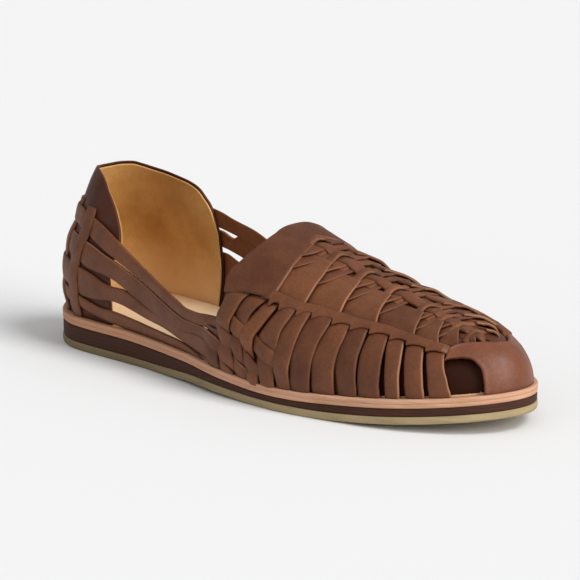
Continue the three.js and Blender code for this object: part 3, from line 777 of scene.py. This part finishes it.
for side_name, side in SIDES:
    straps = Piece("side_straps_" + side_name)
    for index in range(WOVEN, len(STRAPS)):
        side_strap(straps, side, index)
    straps.make(BROWN, ["upper"])
    plait = Piece("side_plait_" + side_name)
    for index in range(WOVEN):
        side_strap(plait, side, index)
    x = np.linspace(SHORT_STRAP["x"][0], SHORT_STRAP["x"][-1], 60)
    upper, lower = curve(SHORT_STRAP, "top")(x), curve(SHORT_STRAP, "bottom")(x)
    steps = edge_steps(7.8, 0.9, 7)
    angle = np.repeat(angle_at(x, side)[:, None], len(steps), 1)
    heights = upper[:, None] + steps[None, :] * (lower - upper)[:, None]
    lift = np.full(len(x), PLAIT_LIFT)
    for met in MEETINGS[side]:
        for row, at, _, sign in met:
            if row == 0:
                lift = lift - sign * PLAIT_SWING * bump(x - at, CROSSING)
    lift = lift - 2.4 * np.clip((x - x[-1] + 9) / 6, 0, 1) ** 2
    add_slab(plait, angle, climb_at_height(angle, heights), lift[:, None] + 0 * heights,
             PLAIT_THICK, 0.6, crown=0.4, raw=(0.3, 0.2))
    plait.make(BROWN, ["upper"])

# ------------------------------------------------------------------ heel


ARC_CLIMB = 0.12      # distances round the heel are measured at this climb
ARC_ANGLES = np.linspace(0, 1.3, 300)
ARC_POINTS = last_point(ARC_ANGLES, ARC_CLIMB)
ARC_RUN = np.concatenate([[0], np.cumsum(np.linalg.norm(np.diff(ARC_POINTS, axis=0), axis=-1))])


def heel_arc(angle):
    """Distance round the heel from its back, negative on the outer side."""
    return np.sign(angle) * np.interp(np.abs(angle), ARC_ANGLES, ARC_RUN)


def angle_at_arc(arc):
    return np.sign(arc) * np.interp(np.abs(arc), ARC_RUN, ARC_ANGLES)


HEEL_LIFT, HEEL_SWING, HEEL_THICK = 0.95, 0.75, 1.4
WAIST_LIFT = 0.9
HEEL_END, HEEL_FADE = 62.0, 14.0          # x where the heel's lift has gone over to the waist's
PLAIT_START, PLAIT_FADE = 128.0, 12.0     # x where the waist's lift starts to go over
DIP_X, DIP_REACH, DIP = 103.0, 22.0, 0.5  # the third long strap sinks under the second here


def on_top_in_heel(row, column):
    """+1 where a long strap runs over an upright one, -1 where it runs under."""
    foremost = column in (0, len(HEEL_COLUMNS["arc"]) - 1)
    return 1 if (row + column) % 2 and not foremost else -1


def both_sides(pair, key, angle):
    """A long strap's column on the outer side's or the inner side's table."""
    x = station_x(angle)
    return np.where(angle < 0, curve(pair[0], key)(x), curve(pair[1], key)(x))


def column_middle(column, z):
    """Distance round the heel of an upright strap's middle at heights."""
    arc = HEEL_COLUMNS["arc"][column]
    if abs(arc) < 40:
        return arc + 0 * z
    front = heel_arc(angle_at(curve(FOREMOST, "x", "z")(z), 1))
    return np.sign(arc) * (front - COLUMN_WIDTH / 2)


for row, (name, pair) in enumerate(LONG_STRAPS.items()):
    tips = [angle_at(rows["x"][-1], 1) for rows in pair]
    angle_run = np.concatenate([np.linspace(-tips[0], 0, 131), np.linspace(0, tips[1], 131)[1:]])
    x = station_x(angle_run)
    upper, lower = both_sides(pair, "top", angle_run), both_sides(pair, "bottom", angle_run)
    arc = heel_arc(angle_run)
    in_heel = np.clip((HEEL_END - x) / HEEL_FADE, 0, 1)
    lift = WAIST_LIFT + (HEEL_LIFT - WAIST_LIFT) * in_heel
    for column in range(len(HEEL_COLUMNS["arc"])):
        sign = on_top_in_heel(row, column)
        at = column_middle(column, (upper + lower) / 2)
        lift = lift + sign * HEEL_SWING * bump(arc - at, CROSSING)
    in_plait = np.clip((x - PLAIT_START) / PLAIT_FADE, 0, 1)
    lift = lift + (PLAIT_LIFT - WAIST_LIFT) * in_plait
    if row == 2:
        lift = lift - DIP * bump(x - DIP_X, DIP_REACH)
    for side in (-1, 1):
        for met in MEETINGS[side]:
            for weaver, at, _, sign in met:
                if weaver == row + 1:
                    here = np.sign(angle_run) == side
                    lift = lift - here * sign * PLAIT_SWING * bump(x - at, CROSSING)
    steps = edge_steps(8.0, 0.9, 7)
    heights = upper[:, None] + steps[None, :] * (lower - upper)[:, None]
    angle = np.repeat(angle_run[:, None], len(steps), 1)
    lean = (0.5 - steps)[None, :] * 0.5
    strap = Piece("long_strap_%d" % (row + 1))
    add_slab(strap, angle, climb_at_height(angle, heights),
             lift[:, None] + lean + wander(len(x), 0.1, 5)[:, None], HEEL_THICK,
             rng.uniform(0.25, 0.8), crown=0.3, raw=(1.0 if row == 1 else 0.3, 0.15))
    strap.make(BROWN, [name])

COLLAR_LATERAL = table(
    "x z", (0, 87), (6, 88), (16, 88.2), (24, 87.4), (31, 85.9), (36, 83.9), (41, 80.9),
    (50.8, 74), (56.3, 67), (60, 58.5), (61, 50))
COLLAR_MEDIAL = table(
    "x z", (0, 87), (4, 87.6), (10, 87.7), (17, 86.5), (25, 85), (36, 83.5), (46, 81.5),
    (53, 79.8), (59, 77.2), (63, 73.4), (67, 68.8), (69.4, 62), (71.5, 50))
FRONT_LATERAL = table("z x", (10, 56.8), (28, 56.4), (35, 54.8), (42, 54.8), (50, 60.6), (90, 61))
FRONT_MEDIAL = table("z x", (10, 70), (38, 72), (50, 71.5), (90, 71.5))


def heel_shell(name, lift, thickness, material, below, shorter, raw, round_off):
    """A shell round the heel from the sole to the collar, on both sides."""
    across = np.concatenate([[0, 0.006, 0.014], np.linspace(0.03, 0.97, 44), [0.986, 0.994, 1]])
    even = np.linspace(-1, 1, 161)
    u = np.sign(even) * (1 - (1 - np.abs(even)) ** 1.25)
    angle, heights = np.zeros((161, len(across))), np.zeros((161, len(across)))
    for i, part in enumerate(u):
        collar, front = ((COLLAR_MEDIAL, FRONT_MEDIAL) if part > 0 else
                         (COLLAR_LATERAL, FRONT_LATERAL))
        end = curve(front, "x", "z")
        top_guess = station_x(part * angle_at(end(60.0) - shorter, 1))
        top = curve(collar, "z")(top_guess) - below
        z = 12.0 + (top - 12.0) * across
        x_end = angle_at(end(z) - shorter, 1)
        angle[i] = part * x_end
        top = curve(collar, "z")(station_x(angle[i])) - below
        heights[i] = 12.0 + (top - 12.0) * across
    shell = Piece(name)
    add_slab(shell, angle, climb_at_height(angle, heights), np.full(angle.shape, lift), thickness,
             0.1, round_off=round_off, ends=(True, True), raw=raw)
    return shell.make(material, ["upper"])


# The counter's dark tone is partly its own colour and partly painted shade for the gaps between the
# heel straps.
heel_shell("heel_counter", -0.3, 1.3, DARK, 0.0, 0.0, (0.0, 0.4), 0.7)
heel_shell("heel_lining", -1.7, 1.1, LINING, 0.9, 0.6, (0.0, 0.0), 0.4)

columns = Piece("heel_columns")
for column, top in enumerate(HEEL_COLUMNS["top"]):
    z = np.linspace(10, top, 56)
    middle = column_middle(column, z)
    steps = edge_steps(COLUMN_WIDTH, 0.9, 7)
    arcs = middle[:, None] + (steps[None, :] - 0.5) * COLUMN_WIDTH
    angle = angle_at_arc(arcs)
    heights = np.repeat(z[:, None], len(steps), 1)
    lift = np.full(len(z), HEEL_LIFT)
    along = station_x(angle_at_arc(middle))
    chosen = 0 if HEEL_COLUMNS["arc"][column] < 0 else 1
    for row, pair in enumerate(LONG_STRAPS.values()):
        sign = on_top_in_heel(row, column)
        at = strap_middle(pair[chosen], along)
        lift = lift - sign * HEEL_SWING * bump(z - at, CROSSING)
    lift -= 0.8 * np.clip((z - top + 3) / 3, 0, 1) ** 2
    add_slab(columns, angle, climb_at_height(angle, heights),
             lift[:, None] + wander(len(z), 0.1)[:, None], HEEL_THICK, rng.uniform(0.3, 0.9),
             ends=(False, True), crown=0.35, raw=(0.05, 0.05))
columns.make(BROWN, ["upper"])

# ------------------------------------------------------------------ vamp

# The vamp straps stop short of the ridge; x of their front edges at three climbs, on the
# outer and on the inner side. The first is the throat piece's.
PETAL_STOP = 0.905
PETAL_CLIMBS = np.array([0.56, 0.74, 0.90])
PETALS = {
    -1: [(174.2, 172.7, 169.7), (191.2, 188.9, 184.3), (210.0, 206.7, 201.9),
         (230.5, 225.6, 220.4), (252.0, 248.2, 242.7), (266.0, 261.5, 256.8),
         (277.0, 273.0, 268.0), (287.0, 284.0, 280.0)],
    1: [(171.0, 169.5, 166.5), (187.5, 185.5, 181.5), (205.5, 203.0, 198.5),
        (226.0, 221.5, 217.0), (248.0, 244.5, 239.5), (263.0, 259.0, 254.5),
        (275.0, 271.0, 266.0), (286.0, 282.0, 277.0)],
}
PETAL_FOOT = {6: 0.68, 7: 0.77}      # climb where the last two come out from under the cap
FILLED_ROWS = 6                      # how many have filler straps in front of them
# How far the two filler straps show in front of each of those, at climbs.
FILLER = table("climb wide narrow", (0.5, -3, -3), (0.62, -3, -3), (0.69, -1, -3),
               (0.75, 2.4, -3), (0.81, 5.4, -0.6), (0.9, 9.0, 4.2), (1.0, 12.0, 8.0))


def petal_edge(row, side):
    climbs = np.concatenate([[0.4], PETAL_CLIMBS, [1.0]])
    low, middle, high = PETALS[side][row]
    xs = np.array([low + 0.2, low, middle, high, high - 3.5])
    return curve({"x": climbs, "v": xs}, "v")


wide_filler, narrow_filler = curve(FILLER, "wide", "climb"), curve(FILLER, "narrow", "climb")


def filler_strap(piece, side, front_edge, ahead, behind, climb, steps, lift, paleness):
    """A strap from just behind a vamp strap's front edge to where it shows in front of it."""
    edge = front_edge(climb)
    angle, grid_climb = strap_grid(side, edge - behind, edge + ahead(climb), climb, steps)
    add_slab(piece, angle, grid_climb, lift + wander(len(climb), 0.15)[:, None], 1.3,
             rng.uniform(0.1, 0.9), crown=0.2, raw=(0.0, paleness))


for side_name, side in SIDES:
    vamp = Piece("vamp_straps_" + side_name)
    for row in range(len(PETALS[side])):
        front_edge = petal_edge(row, side)
        low_end = float(edge_low(min(PETALS[side][row][0], 272.0))) + 0.035
        low_end = max(low_end, PETAL_FOOT.get(row, 0.0))
        if row > 0:
            climb = np.linspace(low_end, PETAL_STOP + rng.uniform(-0.012, 0.012), 46)
            part = (climb - climb[0]) / (climb[-1] - climb[0])
            rear = petal_edge(row - 1, side)(climb) - 2.0
            steps = edge_steps(16.0, 0.9, 12)
            angle, grid_climb = strap_grid(side, rear, front_edge(climb), climb, steps)
            rise = (1.4 + 1.7 * np.sin(np.pi * np.clip(part, 0, 0.75)) ** 0.7)[:, None]
            lift = -0.9 + rise * steps[None, :] ** 1.3 + wander(len(climb), 0.25)[:, None]
            if row in PETAL_FOOT:
                lift -= 1.6 * np.clip(1 - part / 0.35, 0, 1)[:, None]
            add_slab(vamp, angle, grid_climb, lift, 1.5, rng.uniform(0.2, 1.0), crown=0.15,
                     ends=(False, True), raw=(0.0, rng.uniform(0.5, 1.0)))
        if row >= FILLED_ROWS:
            continue
        steps = edge_steps(12.0, 0.9, 9)
        filler_strap(vamp, side, front_edge, wide_filler, 5.0, np.linspace(low_end, 0.985, 46),
                     steps, -1.3 + 2.0 * steps[None, :] ** 1.3, 0.05)
        steps = edge_steps(6.0, 0.9, 6)
        filler_strap(vamp, side, front_edge, narrow_filler, 3.0, np.linspace(0.72, 0.985, 30),
                     steps, -0.7 + 2.2 * steps[None, :] ** 1.2, 0.2)
    vamp.make(BROWN, ["upper"])

    rim = Piece("edge_strip_" + side_name)
    x = np.linspace(160, 274, 420)
    steps = edge_steps(EDGE_WIDTH, 1.0, 6)
    angle = np.repeat(angle_at(x, side)[:, None], len(steps), 1)
    low_line = edge_low(x)
    rate = np.linalg.norm(last_point(angle[:, 0], low_line + 0.05)
                          - last_point(angle[:, 0], low_line), axis=-1) / 0.05
    wide = EDGE_WIDTH / rate
    climb = low_line[:, None] + (1 - steps)[None, :] * wide[:, None]
    climb += (EDGE_STEP * stepped(x))[:, None] * steps[None, :] ** 2
    ends = np.clip((x - 164) / 9, 0, 1) * np.clip((275 - x) / 6, 0, 1)
    lift = (-0.9 + 1.9 * ends)[:, None] + steps[None, :] * (1.25 * ends)[:, None]
    lift += wander(len(x), 0.15, 6)[:, None]
    add_slab(rim, angle, climb, lift, 1.7, 0.5, round_off=1.0, crown=0.3, raw=(0.0, 0.25))
    rim.make(BROWN, ["edge_strip_" + side_name])

# A strip down the ridge, set a little to the outer side, and the short straps that cross it.
SPINE_WIDTH, SPINE_ASIDE = 7.0, -2.6
spine = Piece("spine_strip")
x = np.linspace(163, 290, 250)
steps = edge_steps(SPINE_WIDTH, 1.2, 9)
across = SPINE_ASIDE + (steps[None, :] - 0.5) * (SPINE_WIDTH + wander(len(x), 0.5, 7)[:, None])
side = np.where(across < 0, -1.0, 1.0)
angle = angle_at(np.repeat(x[:, None], len(steps), 1), side)
climb = climb_near_ridge(angle, np.abs(across))
ends = np.clip((x - 163) / 6, 0, 1) * np.clip((290 - x) / 6, 0, 1)
lift = -0.6 + 2.0 * np.sqrt(ends)
OVER = [(PETALS[-1][row][2] + PETALS[1][row][2]) / 2 - 2.5 for row in range(len(PETALS[-1]))]
for over in OVER:
    lift = lift - 1.1 * bump(x - over, 6.0) + 0.6 * bump(x - over - 8.5, 5.0)
add_slab(spine, angle, climb, lift[:, None] + 0 * climb, 1.8, 0.5, round_off=1.0, crown=0.3,
         raw=(0.3, 0.3))
spine.make(BROWN, ["spine_strip"])

# Each crossing: how far ahead of the vamp strap's end it lies, and how high over the spine.
TWO_CROSSINGS, ONE_CROSSING = ((0.0, 2.3), (8.5, 0.6)), ((0.0, 1.4),)
ROWS_OF_TWO = 5
crossing = Piece("ridge_crossings")
for row in range(len(PETALS[-1])):
    for ahead, peak in TWO_CROSSINGS if row < ROWS_OF_TWO else ONE_CROSSING:
        distance = np.linspace(-11.5, 8.0, 34)
        t = (distance + 11.5) / 19.5
        start, stop = PETALS[-1][row][2] - 3.5 + ahead, PETALS[1][row][2] - 3.0 + ahead
        middle = start + (stop - start) * t
        width = 5.2 - 1.4 * np.sin(np.pi * t)
        steps = edge_steps(5.0, 1.0, 6)
        xs = middle[:, None] + (steps[None, :] - 0.5) * width[:, None]
        side = np.where(distance < 0, -1.0, 1.0)[:, None] + 0 * xs
        angle = angle_at(xs, side)
        climb = climb_near_ridge(angle, np.abs(distance)[:, None] + 0 * xs)
        lift = -0.2 + peak * bump(distance - SPINE_ASIDE, 9.0) + wander(len(t), 0.1)
        add_slab(crossing, angle, climb, lift[:, None] + 0.4 * steps[None, :], 1.4,
                 rng.uniform(0.2, 1.0), round_off=1.0, crown=0.5, raw=(0.1, 0.7))
crossing.make(BROWN, ["upper"])

# The throat piece runs over the instep, from side to side.
THROAT_REAR = table(
    "climb x", (0.2, 147.5), (0.31, 147.1), (0.366, 146.4), (0.407, 145.5), (0.447, 144.2),
    (0.483, 143.6), (0.53, 144.6), (0.57, 147.0), (0.63, 149.5), (0.69, 151.1), (0.744, 152.1),
    (0.80, 152.6), (0.855, 152.5), (0.918, 151.3), (0.966, 150.6), (1.0, 150.4))
THROAT_LOW = table("x climb", (140, 0.355), (148, 0.372), (154, 0.395), (162, 0.432),
                   (176, 0.472))


def over_ridge(rear_edge, front_edge, low_climb, count, steps):
    """A grid over the ridge between two edges, down to a climb that depends on x."""
    across = np.linspace(-1, 1, count)
    down = np.abs(across)
    guess = 1 - 0.6 * down
    rear, front = rear_edge(guess), front_edge(guess)
    x = rear[:, None] + (front - rear)[:, None] * steps[None, :]
    climb = 1 - (1 - low_climb(x)) * down[:, None]
    side = np.where(across < 0, -1.0, 1.0)[:, None] + 0 * x
    return angle_at(x, side), climb


throat = Piece("throat_piece")
steps = edge_steps(30.0, 1.4, 26)
outer_front, inner_front = petal_edge(0, -1), petal_edge(0, 1)
throat_rear, throat_low = curve(THROAT_REAR, "x", "climb"), curve(THROAT_LOW, "climb")
halves = [over_ridge(throat_rear, front, throat_low, 121, steps)
          for front in (outer_front, inner_front)]
lateral_half = (np.linspace(-1, 1, 121) < 0)[:, None]
angle = np.where(lateral_half, halves[0][0], halves[1][0])
climb = np.where(lateral_half, halves[0][1], halves[1][1])
lift = 1.1 + 0 * climb
lift += 0.5 * np.clip(1 - steps[None, :] / 0.22, 0, 1) ** 2
lift += 1.2 * np.clip(1 - (climb - throat_low(station_x(angle))) / 0.09, 0, 1) ** 1.5
add_slab(throat, angle, climb, lift, 2.2, 0.15, round_off=1.3, ends=(True, True), raw=(0.1, 0.8))
throat.make(BROWN, ["upper"])

# The toe cap: x of its rear edge at climbs, with the opening at each side, and the climb of
# its upper edge at x.
CAP_REAR = table(
    "climb x", (-0.03, 288.6), (0.03, 288.6), (0.08, 288.5), (0.163, 288.1), (0.226, 287.4),
    (0.29, 285.4), (0.335, 283.0), (0.355, 279.5), (0.366, 275.5), (0.385, 272.8),
    (0.42, 271.6), (0.54, 271.5))
CAP_TOP = {
    -1: table("x climb", (271.4, 0.535), (272.3, 0.616), (274.9, 0.69), (280.7, 0.771),
              (288.6, 0.822), (296, 0.834)),
    1: table("x climb", (271.4, 0.53), (273, 0.6), (277, 0.655), (283, 0.69), (289.6, 0.73),
             (294.3, 0.79), (296, 0.834)),
}
cap = Piece("toe_cap")
cap_rear = curve(CAP_REAR, "x", "climb")
up = np.concatenate([np.linspace(0, 0.58, 24), np.linspace(0.60, 0.72, 18),
                     np.linspace(0.75, 1, 14)])
part = np.concatenate([[0, 0.01, 0.025, 0.045, 0.07], np.linspace(0.1, 1, 44)])
halves = []
for _, side in SIDES:
    back = angle_at(cap_rear(FOOT + (0.535 - FOOT) * up), side)
    angle = back[:, None] + (side * np.pi - back)[:, None] * part[None, :]
    climb = FOOT + (curve(CAP_TOP[side], "climb")(station_x(angle)) - FOOT) * up[:, None]
    halves.append((angle, climb))
angle = np.concatenate([halves[0][0], halves[1][0][:, -2::-1]], 1)
climb = np.concatenate([halves[0][1], halves[1][1][:, -2::-1]], 1)
ends = np.concatenate([part, part[-2::-1]])[None, :]
lift = 1.0 + 0.35 * np.clip(1 - ends / 0.12, 0, 1) + 0 * climb
lift += 0.5 * np.clip((up - 0.93) / 0.07, 0, 1)[:, None]
add_slab(cap, angle, climb, lift, 2.0, 0.65, round_off=1.0, ends=(False, True), raw=(0.3, 0.3))
cap.make(POLISHED, ["upper"])

# Dark brown sheets behind the woven parts: they close holes in the weave, and their dark tone is
# painted shade for what shows through the gaps.
under_vamp = Piece("vamp_shade_backing")
steps = np.linspace(0, 1, 60)
angle, climb = over_ridge(lambda c: 154 + 0 * c, lambda c: 268 + 0 * c, edge_low, 61, steps)
add_slab(under_vamp, angle, climb, -0.9 + 0 * climb, 0.8, 0.2, ends=(True, True), round_off=0.4)
even = np.linspace(-1, 1, 61)
angle = np.where(even < 0, -np.pi, np.pi) - even * (np.pi - angle_at(262, 1))
angle, climb = np.meshgrid(angle, np.linspace(0.66, 0.995, 24))
add_slab(under_vamp, angle, climb, -0.5 + 0 * climb, 0.8, 0.1, ends=(True, True), round_off=0.4)
for _, side in SIDES:
    climb = np.linspace(-0.02, 0.5, 30)
    angle, grid_climb = strap_grid(side, np.interp(climb, [0, 0.2, 0.5], [148, 145, 152]),
                                   223 + 0 * climb, climb, np.linspace(0, 1, 40))
    add_slab(under_vamp, angle, grid_climb, -1.0 + 0 * grid_climb, 0.8, -0.3, ends=(True, True),
             round_off=0.4)
under_vamp.make(BROWN, ["upper"])

# A near-black sheet deep under the toe straps: painted shade for the dark inside of the toe, seen
# through the gaps.
backing = Piece("toe_shade_backing")
for _, side in SIDES:
    climb = np.linspace(-0.02, 0.62, 34)
    angle, grid_climb = strap_grid(side, 222 + 0 * climb, 293 + 0 * climb, climb,
                                   np.linspace(0, 1, 50))
    add_slab(backing, angle, grid_climb, -3.2 + 0 * grid_climb, 0.8, 0.2, ends=(True, True),
             round_off=0.4)
backing.make(TOE_SHADE, ["upper"])

# ------------------------------------------------------------------ camera, light and floor

low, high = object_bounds()
centre = (low + high) / 2

camera_data = bpy.data.cameras.new("camera")
camera_data.sensor_width = 36.0
camera_data.lens = 321.0
camera = bpy.data.objects.new("camera", camera_data)
bpy.context.scene.collection.objects.link(camera)
bpy.context.scene.camera = camera
AZIMUTH, ELEVATION, DISTANCE = math.radians(45.0), math.radians(13.43), 2.5
from_centre = (math.sin(AZIMUTH) * math.cos(ELEVATION), -math.cos(AZIMUTH) * math.cos(ELEVATION),
               math.sin(ELEVATION))
camera.location = [c + DISTANCE * d for c, d in zip(centre, from_centre)]
camera.rotation_euler = (math.pi / 2 - ELEVATION, 0, AZIMUTH)


def sun(name, strength, spread, azimuth, elevation, colour=(1, 1, 1)):
    """Far light coming from an azimuth measured like the camera's."""
    data = bpy.data.lights.new(name, "SUN")
    data.energy, data.angle, data.color = strength, math.radians(spread), colour
    lamp = bpy.data.objects.new(name, data)
    lamp.rotation_euler = (math.pi / 2 - math.radians(elevation), 0, math.radians(azimuth))
    bpy.context.scene.collection.objects.link(lamp)


sun("key", 1.65, 24, 104, 52)
sun("front", 1.6, 30, 92, 22)
sun("fill", 0.35, 60, 20, 35)

world = bpy.data.worlds.new("studio")
world.use_nodes = True
world.node_tree.nodes["Background"].inputs["Color"].default_value = (1, 1, 1, 1)
world.node_tree.nodes["Background"].inputs["Strength"].default_value = 0.47
bpy.context.scene.world = world
bpy.context.scene.view_settings.view_transform = "Standard"

paper = Shader("paper", 0.95, 0.1)
floor_mesh = bpy.data.meshes.new("floor")
REACH = 8.0
floor_mesh.from_pydata([(-REACH, -REACH, 0), (REACH, -REACH, 0), (REACH, REACH, 0),
                        (-REACH, REACH, 0)], [], [(0, 1, 2, 3)])
floor_mesh.materials.append(paper.finish(srgb("#e8e8e8")))
floor = bpy.data.objects.new("floor", floor_mesh)
bpy.context.scene.collection.objects.link(floor)
